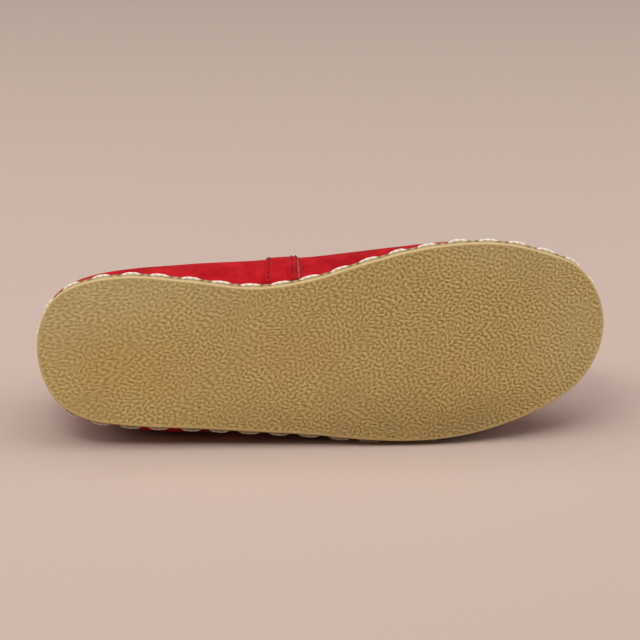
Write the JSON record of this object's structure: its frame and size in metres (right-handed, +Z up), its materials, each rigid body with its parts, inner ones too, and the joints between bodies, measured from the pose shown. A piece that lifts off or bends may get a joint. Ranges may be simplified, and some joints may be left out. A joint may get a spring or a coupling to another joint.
{
  "type": "slip-on shoe",
  "caption": "Left slip-on shoe lying on its outer side, with a soft hollow upper, a leather midsole sewn on by hand and a flat textured crepe rubber sole.",
  "frame": {"origin": "on the floor, under the middle of the shoe's box as it lies on its outer side", "axes": "+X towards the toe, +Z up and towards the inner side of the shoe, the tread faces -Y and the collar +Y"},
  "size_m": [0.2644, 0.073, 0.0923],
  "materials": {
    "crepe_rubber": "wrinkled",
    "midsole_leather": "matte cut edge",
    "insole_leather": "smooth",
    "nubuck": "napped"
  },
  "bodies": {
    "root": {"outsole": "crepe_rubber", "midsole": "midsole_leather", "insole": "insole_leather", "upper": "nubuck", "side_band_medial": "nubuck", "side_band_lateral": "nubuck"}
  },
  "joints": []
}
